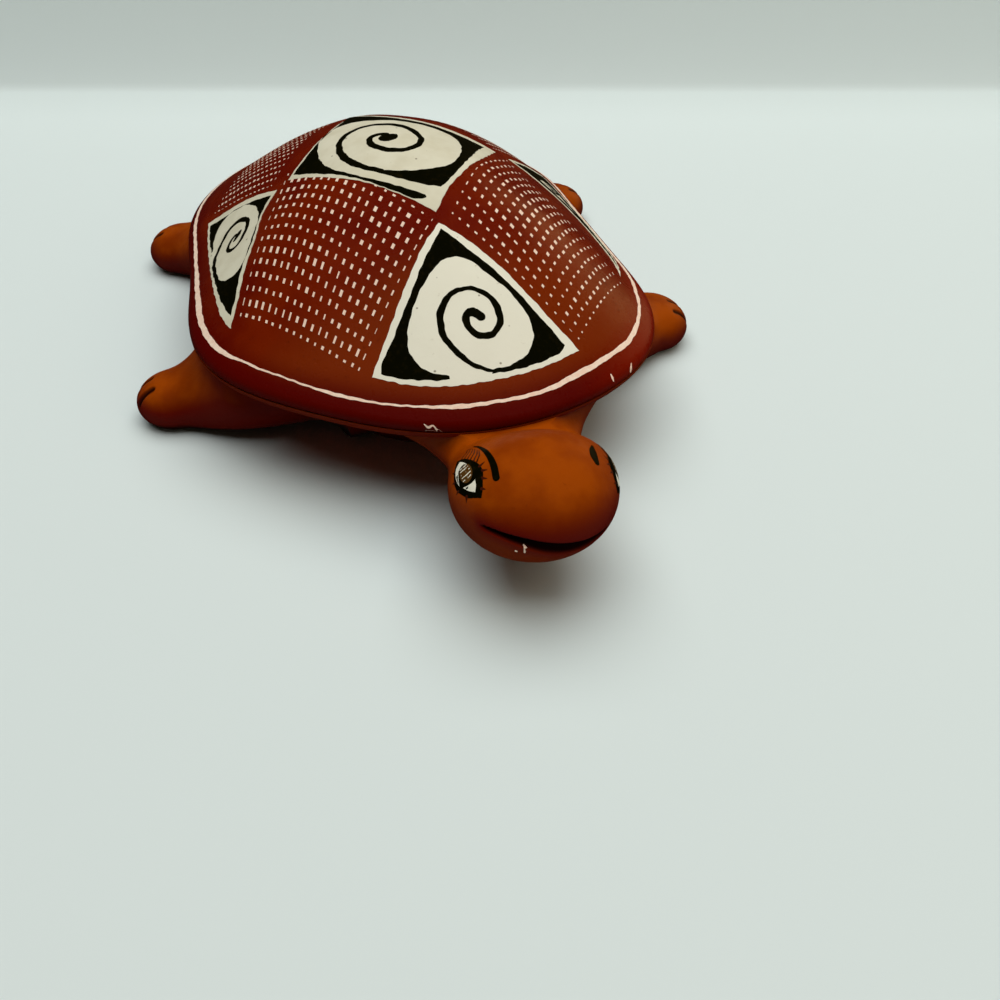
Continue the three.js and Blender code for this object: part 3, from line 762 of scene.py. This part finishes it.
def limb(root, heading, reach, closing, width, low, high, rows=110, count=160, fillet=FILLET):
    """A luted limb: oval sections along a level line, a round end, and clay smeared on to the shell."""
    ahead, side = ways(heading)
    straight = reach - closing
    body = int(rows * straight / (straight + 1.57 * closing))
    stops = list(np.linspace(-ROOT_LEAD, straight, body, endpoint=False))
    stops += list(straight + closing * np.sin(np.linspace(0, math.pi / 2, rows - body, endpoint=False)))
    around = np.linspace(0, 2 * math.pi, count, endpoint=False)
    rings = []
    for at in stops:
        shut = math.sqrt(max(0, 1 - ((at - straight) / closing) ** 2)) if at > straight else 1
        middle, half = (high(at) + low(at)) / 2, (high(at) - low(at)) / 2 * shut
        centre = root + ahead * at + np.array([0, 0, middle])
        ring = []
        for angle in around:
            spoke = side * (width(at) / 2 * shut * math.cos(angle))
            spoke[2] = half * math.sin(angle)
            point = centre + spoke
            gap, _ = depth_at(point)
            if gap < fillet:
                swell = fillet - math.sqrt(fillet ** 2 - (fillet - max(gap, 0)) ** 2)
                point = point + spoke / np.linalg.norm(spoke) * swell
                point[2] = min(point[2], LUTE_TOP)
            ring.append(rooted(point, ahead))
        rings.append(ring)
    start = rooted(root - ahead * ROOT_LEAD + np.array([0, 0, (low(0) + high(0)) / 2]), ahead)
    end = root + ahead * reach + np.array([0, 0, (low(reach) + high(reach)) / 2])
    return skinned(start, rings, end)


def incised(points, line, widths, depth):
    """Press a groove along a line into a skin; give the points and how deep in the groove each lies."""
    line = np.asarray(line)
    width = np.interp(np.linspace(0, 1, len(line)), np.linspace(0, 1, len(widths)), widths)
    gaps = [np.linalg.norm(line - point, axis=1) for point in points]
    near = np.clip([np.max(1 - (gap / width) ** 2) for gap in gaps], 0, 1)
    inward = points.mean(axis=0)[None] - points
    inward /= np.linalg.norm(inward, axis=1)[:, None]
    return points + inward * (depth * near ** 1.5)[:, None], near


head_points, head_faces = limb(
    inside_rim(HEAD_ANGLE, HEAD_INSET), -90 - HEAD_TURN, HEAD_REACH, SNOUT, rows=150, count=220,
    width=through([0, 40], [8.5, 29], [15.5, 24.8], [28, 28.4]),
    low=through([0, 9.6], [15.5, 9.2], [28, 8.3]), high=through([0, 18.8], [11.6, 18.6], [28, 27.9]))
mouth = eased([(-9, -86.3, 20.1), (-6.2, -89, 19.8), (-3.2, -91.3, 19.2), (0.5, -92.6, 18),
               (4.2, -92.9, 17), (8, -91.8, 16.4), (11.6, -89.3, 16.6)], 0.12)
MOUTH_WIDTHS, MOUTH_DEPTH = [0.3, 0.6, 1.0, 1.35, 1.5, 1.25, 0.55], 1.2
head_points, in_mouth = incised(head_points, mouth, MOUTH_WIDTHS, MOUTH_DEPTH)
gaps = [np.linalg.norm(mouth - point, axis=1) for point in head_points]
to_mouth = np.min(gaps, axis=1)
over = head_points[:, 2] - mouth[np.argmin(gaps, axis=1), 2]
toward_front = np.clip((head_points[:, 0] + 10) / 12, 0, 1)
lip_reach = np.where(over > 0, 2 + 4 * toward_front, 1.5 + 1.5 * toward_front)
on_lips = np.clip(1.25 - to_mouth / lip_reach, 0, 1)
head = solid("turtle_head", head_points, head_faces, tan_slip, replaced=["head"], sharp=180)
shade_layer(head, "lip_slip_and_painted_shade", on_lips)
shade_layer(head, "grooves_and_painted_sole_shadow", np.clip(1.7 * in_mouth, 0, 1))
head_tree = BVHTree.FromPolygons(head_points.tolist(), head_faces)

# Eyes: painted on the leather-hard head, white with dark rims, striped irises, lashes and brows.
# Both are one drawing, on a plane in front of each side of the head.
eye_views = {
    "right": ((-8.7, -79.1, 24.0), (-0.016, -0.997, -0.078), (0.739, -0.065, 0.67)),
    "left": ((17.2, -81.7, 21.9), (0.157, 0.985, 0.078), (-0.739, 0.064, 0.67)),
}
almond_rim = outline(
    [(-7.1, -1.9), (-5.6, -0.2), (-3.5, 1.35), (-1.9, 2.3), (-0.6, 2.75), (0.9, 2.75), (2.2, 2.2),
     (3.7, 1.45)],
    [(4.7, 0.6), (3.9, -0.4), (3, -1.5), (1.6, -2.3), (0, -2.95), (-1.3, -3), (-2.9, -2.75),
     (-4.8, -2.35)], spacing=0.25)
crescent = outline(
    [(-5.5, -0.95), (-4.5, -1.75), (-3, -2.15), (-1.5, -2.25)],
    [(0, -2.05), (-1.75, -1.65), (-3.15, -1.2), (-3.6, -0.4)], [(-3.2, 0.5), (-4.3, -0.1)], spacing=0.2)
corner = outline(
    [(0.8, -1.5), (2.1, -0.8)], [(3.2, 0.15), (2.3, 0.8)], [(1.2, 1.1), (1.35, 0.3), (1.15, -0.7)],
    spacing=0.2)
around = np.linspace(0, 2 * math.pi, 40, endpoint=False)
iris = np.stack([-1.25 + 2 * np.cos(around), -0.05 + 1.3 * np.sin(around)], -1)
glints = [stroke([(x, -0.95), (x + 0.08, 0.1), (x - 0.02, 0.95 - 0.25 * abs(x + 1.1))], [0.16, 0.26, 0.2])
          for x in (-2.9, -2.2, -1.5, -0.8, -0.1)]
long_lashes = [(-6.2, -0.6), (-5.3, 0.1), (-4.4, 0.8), (-3.5, 1.4), (-2.6, 1.95), (-1.8, 2.35)]
short_lashes = [
    ((-0.6, 2.6), (-0.9, 3.6)), ((0.5, 2.7), (0.9, 3.5)), ((1.8, 2.2), (2.4, 2.9)),
    ((3.4, 1.4), (3.9, 1.9)), ((2.6, -1.6), (3.3, -2.2)), ((0.4, -2.7), (0.5, -3.3)),
    ((-1.8, -2.8), (-2.1, -3.4)), ((-3.9, -2.4), (-4.5, -3))]
lashes = [stroke([(u, v), (u - 1.2, v + 0.75), (u - 2.8, v + 0.7)], [0.34, 0.28, 0.12])
          for u, v in long_lashes]
lashes += [stroke([root, tip], [0.55, 0.1]) for root, tip in short_lashes]
brows = {
    "right": stroke(eased([(-8.6, 1.3), (-6.6, 2.6), (-4.6, 3.6), (-2.6, 4.35), (-0.8, 4.65), (0.9, 4.65),
                           (3.2, 4.2)]), [0.2, 0.35, 0.5, 0.75, 0.95, 1.1, 1.1]),
    "left": stroke(eased([(-2, 5.9), (-0.8, 6.2), (0.6, 6.3), (1.9, 6)]), [0.5, 1.4, 1.6, 1]),
}
lash_slip, brown_slip = (
    Finish(name).done(Base_Color=(*colour, 1), Roughness=0.5, Specular_IOR_Level=0.3)
    for name, colour in (("lash_slip", (0.05, 0.006, 0.001)), ("brown_slip", (0.10, 0.042, 0.006))))
EYE_STANDOFF, EYE_SPACING = 12, 0.5
for side, (origin, across, upward) in eye_views.items():
    outwards = Vector(across).cross(Vector(upward)).normalized()
    view = (Vector(origin) + outwards * EYE_STANDOFF, across, upward)
    for kind, loops, lift, finish in (
            ("rim", [almond_rim], 0.05, black_slip), ("white", [crescent, corner], 0.08, cream_slip),
            ("iris", [iris], 0.10, brown_slip), ("glints", glints, 0.13, cream_slip),
            ("lashes", lashes, 0.07, lash_slip), ("brow", [brows[side]], 0.07, black_slip)):
        if side == "left":
            loops = [loop * (-1, 1) for loop in loops]
        film(f"{side}_eye_{kind}", loops, lift, finish, head_tree, view, EYE_SPACING)

# Chips: a few small places where the slip has flaked off the rim and the chin.
# The pale clay shows through them, as it does in the scratched lines.
CHIP_ACROSS, CHIP_UP = (0.96, -0.27, 0), (0.19, 0.6, 0.78)
CHIP_LIFT, CHIP_SPACING = 0.06, 0.4
rim_chips = [stroke(eased(line, 0.15), widths) for line, widths in (
    ([(-1.7, 0.8), (-0.9, 0.2), (-0.2, 0.5), (0.6, -0.3), (1.9, -0.9)], [0.12, 0.45, 0.2, 0.45, 0.12]),
    ([(-1.4, -0.4), (-0.3, -0.5), (0.6, -0.9)], [0.2, 0.4, 0.15]))]
far_chips = [stroke([(0.1, 0.9), (0, 0), (-0.1, -0.7)], [0.15, 0.4, 0.3]),
             stroke([(-4.2, -1.3), (-3.9, -2), (-3.7, -2.6)], [0.2, 0.4, 0.15])]
chin_chips = [stroke([(-0.1, 0.7), (0.2, 0.2), (0.1, -0.5)], [0.2, 0.55, 0.3]),
              stroke([(-1.3, -0.3), (-1.1, -0.4)], [0.3, 0.2])]
for where, origin, loops, tree in (("rim", (-16.1, -84.4, 40.3), rim_chips, carapace_tree),
                                   ("far_rim", (23.1, -80.2, 42.2), far_chips, carapace_tree),
                                   ("chin", (-9.7, -114.4, 37.3), chin_chips, head_tree)):
    view = (origin, CHIP_ACROSS, CHIP_UP)
    film(f"{where}_chips", loops, CHIP_LIFT, pale_clay, tree, view, CHIP_SPACING)

# Feet: four flat-soled paddles, squeezed out from under the rim, two claws pressed into each.
# Each has its place and inset on the rim, its heading, reach, widths at root and toe, how much painted
# shade darkens its sides and painted shadow its sole's edge, and how far its claws sit to one side.
feet = {
    "front_right_foot": (-54, 29, 178.7, 41, 33, 15.5, 0.9, 0),
    "front_left_foot": (50.5, 29.4, 0, 41.2, 36, 18.5, 0.1, 2),
    "rear_right_foot": (-153.4, 22, 150, 40.7, 27, 17.5, 0.3, 0),
    "rear_left_foot": (154, 18.3, 14.8, 43.3, 26, 16.8, 0, 0),
}
TOE_ROUND, SOLE, ROOT_HIGH, FOOT_HIGH, TOE_HIGH, FOOT_FILLET = 8, -1.6, 17, 11.2, 9.4, 5.5
SOLE_EDGE, CLAW_APART, CLAW_START, CLAW_LENGTH, CLAW_WIDTH, CLAW_DEPTH = 0.4, 4.4, 3.4, 3.3, 0.95, 0.6
for node, (angle, inset, heading, reach, root_width, toe_width, painted_shade_share, claw_shift) in feet.items():
    root, (ahead, side) = inside_rim(angle, inset), ways(heading)
    foot_points, foot_faces = limb(
        root, heading, reach, TOE_ROUND,
        width=through([0, root_width], [reach - 20, root_width * 0.92], [reach - 7, toe_width]),
        low=lambda at: SOLE, fillet=FOOT_FILLET,
        high=through([reach - 18, ROOT_HIGH], [reach - 12, FOOT_HIGH], [reach - 6, TOE_HIGH]))
    foot_tree = BVHTree.FromPolygons(foot_points.tolist(), foot_faces)
    claws = []
    for aside in (claw_shift - CLAW_APART / 2, claw_shift + CLAW_APART / 2):
        for t in np.linspace(0, 1, 16):
            place = root + ahead * (reach - CLAW_START + CLAW_LENGTH * t) + side * aside
            place[2] = 9 - 4 * t * t
            claws.append(foot_tree.find_nearest(Vector(place))[0])
    foot_points, in_claw = incised(foot_points, claws, [CLAW_WIDTH], CLAW_DEPTH)
    foot_points[:, 2] = (foot_points[:, 2] + np.sqrt(foot_points[:, 2] ** 2 + SOLE_EDGE ** 2)) / 2
    paddle = solid(node.replace("foot", "paddle"), foot_points, foot_faces, tan_slip,
                   replaced=[node], sharp=180)
    # Painted shadow: the clay just above each sole is darkened, standing in for the contact shadow under
    # the foot.
    painted_sole_shadow = painted_shade_share * np.clip((2.8 - foot_points[:, 2]) / 1.2, 0, 1)
    shade_layer(paddle, "grooves_and_painted_sole_shadow", np.maximum(in_claw, painted_sole_shadow))
    # Painted shade: the sides of the foot that turn away from up are darkened.
    upright = np.array([vertex.normal.z for vertex in paddle.data.vertices])
    shade_layer(paddle, "lip_slip_and_painted_shade", painted_shade_share * np.clip((0.72 - upright) / 0.35, 0, 1))

# Tail: a small drooping cone of solid clay under the rim at the back.
# It was pulled to a point and luted on as the feet were.
TAIL_INSET, TAIL_REACH, TAIL_ROUND, TAIL_LOW = 14, 21, 4, 2.4
points, faces = limb(
    inside_rim(180, TAIL_INSET), 90, TAIL_REACH, TAIL_ROUND, rows=60, count=90, fillet=2.5,
    width=through([0, 19.2], [10.5, 12], [17, 6]), low=lambda at: TAIL_LOW,
    high=through([0, 14], [10.5, 12], [17, 7]))
solid("tail_cone", points, faces, tan_slip, replaced=["tail"], sharp=180)

# Rattle pellets and the seam coil: rough clay, left unfinished inside the closed chamber.
# The coil was pressed into the joint of the two bowls.
raw = Finish("raw_clay")
grain = raw.noise(0.8, 5)
shade = raw.mix(raw.ramp(grain, 0.3, 0.7), (0.30, 0.13, 0.06), (0.42, 0.21, 0.11))
raw_clay = raw.done(Base_Color=shade, Roughness=0.9, Normal=raw.bump(grain, 0.2))
for node in [f"rattle_pellet_{number}" for number in range(1, 13)] + ["seam_coil"]:
    for slot in bpy.data.objects[node].material_slots:
        slot.material = raw_clay

# Studio: a pale paper sheet, bent up behind the turtle, in a dim room.
# A wide softbox hangs over it and a little behind, a weak window is in front at its left,
# and a screen at its left shows only in the gloss.
SHEET_FLAT, SHEET_SIDE = 0.1555, 1.4
SHEET_BENDS = [(1.5, 12), (1.5, 28), (1.5, 42), (6, 49), (8, 53), (12, 57), (14, 61), (20, 66), (70, 70)]
CAMERA_TURN = -0.31
away = np.array([-math.sin(CAMERA_TURN), math.cos(CAMERA_TURN)])
along = np.array([away[1], -away[0]])
profile = [(-2, 0), (-0.5, 0), (0, 0), (SHEET_FLAT, 0)]
for length, slope in SHEET_BENDS:
    depth, height = profile[-1]
    slope = math.radians(slope)
    profile.append((depth + length * MM * math.cos(slope), height + length * MM * math.sin(slope)))
sheet_points = [(*(away * depth + along * side), height)
                for depth, height in profile for side in (-SHEET_SIDE, SHEET_SIDE)]
sheet_faces = [(2 * i, 2 * i + 1, 2 * i + 3, 2 * i + 2) for i in range(len(profile) - 1)]
sheet_mesh = bpy.data.meshes.new("studio_sheet")
sheet_mesh.from_pydata(sheet_points, [], sheet_faces)
sheet_mesh.shade_smooth()
paper = Finish("paper")
specks = paper.ramp(paper.cells(50), 0.011, 0.007, 0, 0.6)
shade = paper.mix(specks, (0.715, 0.80, 0.775), (0.2, 0.2, 0.19))
sheet_mesh.materials.append(paper.done(Base_Color=shade, Roughness=0.9, Specular_IOR_Level=0.1))
sheet = linked("studio_sheet", sheet_mesh)
sheet.visible_glossy = False

world = bpy.data.worlds.new("room")
bpy.context.scene.world = world
world.use_nodes = True
room = world.node_tree.nodes["Background"].inputs
room["Color"].default_value = (1.0, 0.8, 0.56, 1)
room["Strength"].default_value = 0.02
bpy.context.scene.view_settings.view_transform = "Standard"


def lamp(name, place, size, power, glossy=True, diffuse=True, colour=(1, 1, 1)):
    """A square lamp that faces the turtle."""
    data = bpy.data.lights.new(name, "AREA")
    data.energy = power
    data.size = size
    data.color = colour
    made = linked(name, data)
    made.location = place
    made.rotation_euler = (Vector((0, 0, 0.02)) - made.location).to_track_quat("-Z", "Y").to_euler()
    made.visible_glossy, made.visible_diffuse = glossy, diffuse


lamp("softbox", (0.04, 0.13, 1.1), 1.4, 15.1, glossy=False)
lamp("window", (0.45, -0.45, 0.55), 0.45, 1.0, glossy=False, colour=(1, 0.88, 0.72))
lamp("screen", (0.75, 0.45, 0.40), 0.55, 1.6, diffuse=False, colour=(1, 0.7, 0.3))

# Camera: above and to the right of the head, where the photographer stood.
# The paper sheet is turned as the camera is.
LENS, SENSOR, CAMERA_DIP = 36, 36, 42
camera_data = bpy.data.cameras.new("camera")
camera_data.lens = LENS
camera_data.sensor_width = SENSOR
camera = linked("camera", camera_data)
camera.location = (-0.04044, -0.19524, 0.12759)
camera.rotation_euler = (math.radians(90 - CAMERA_DIP), 0, CAMERA_TURN)
bpy.context.scene.camera = camera
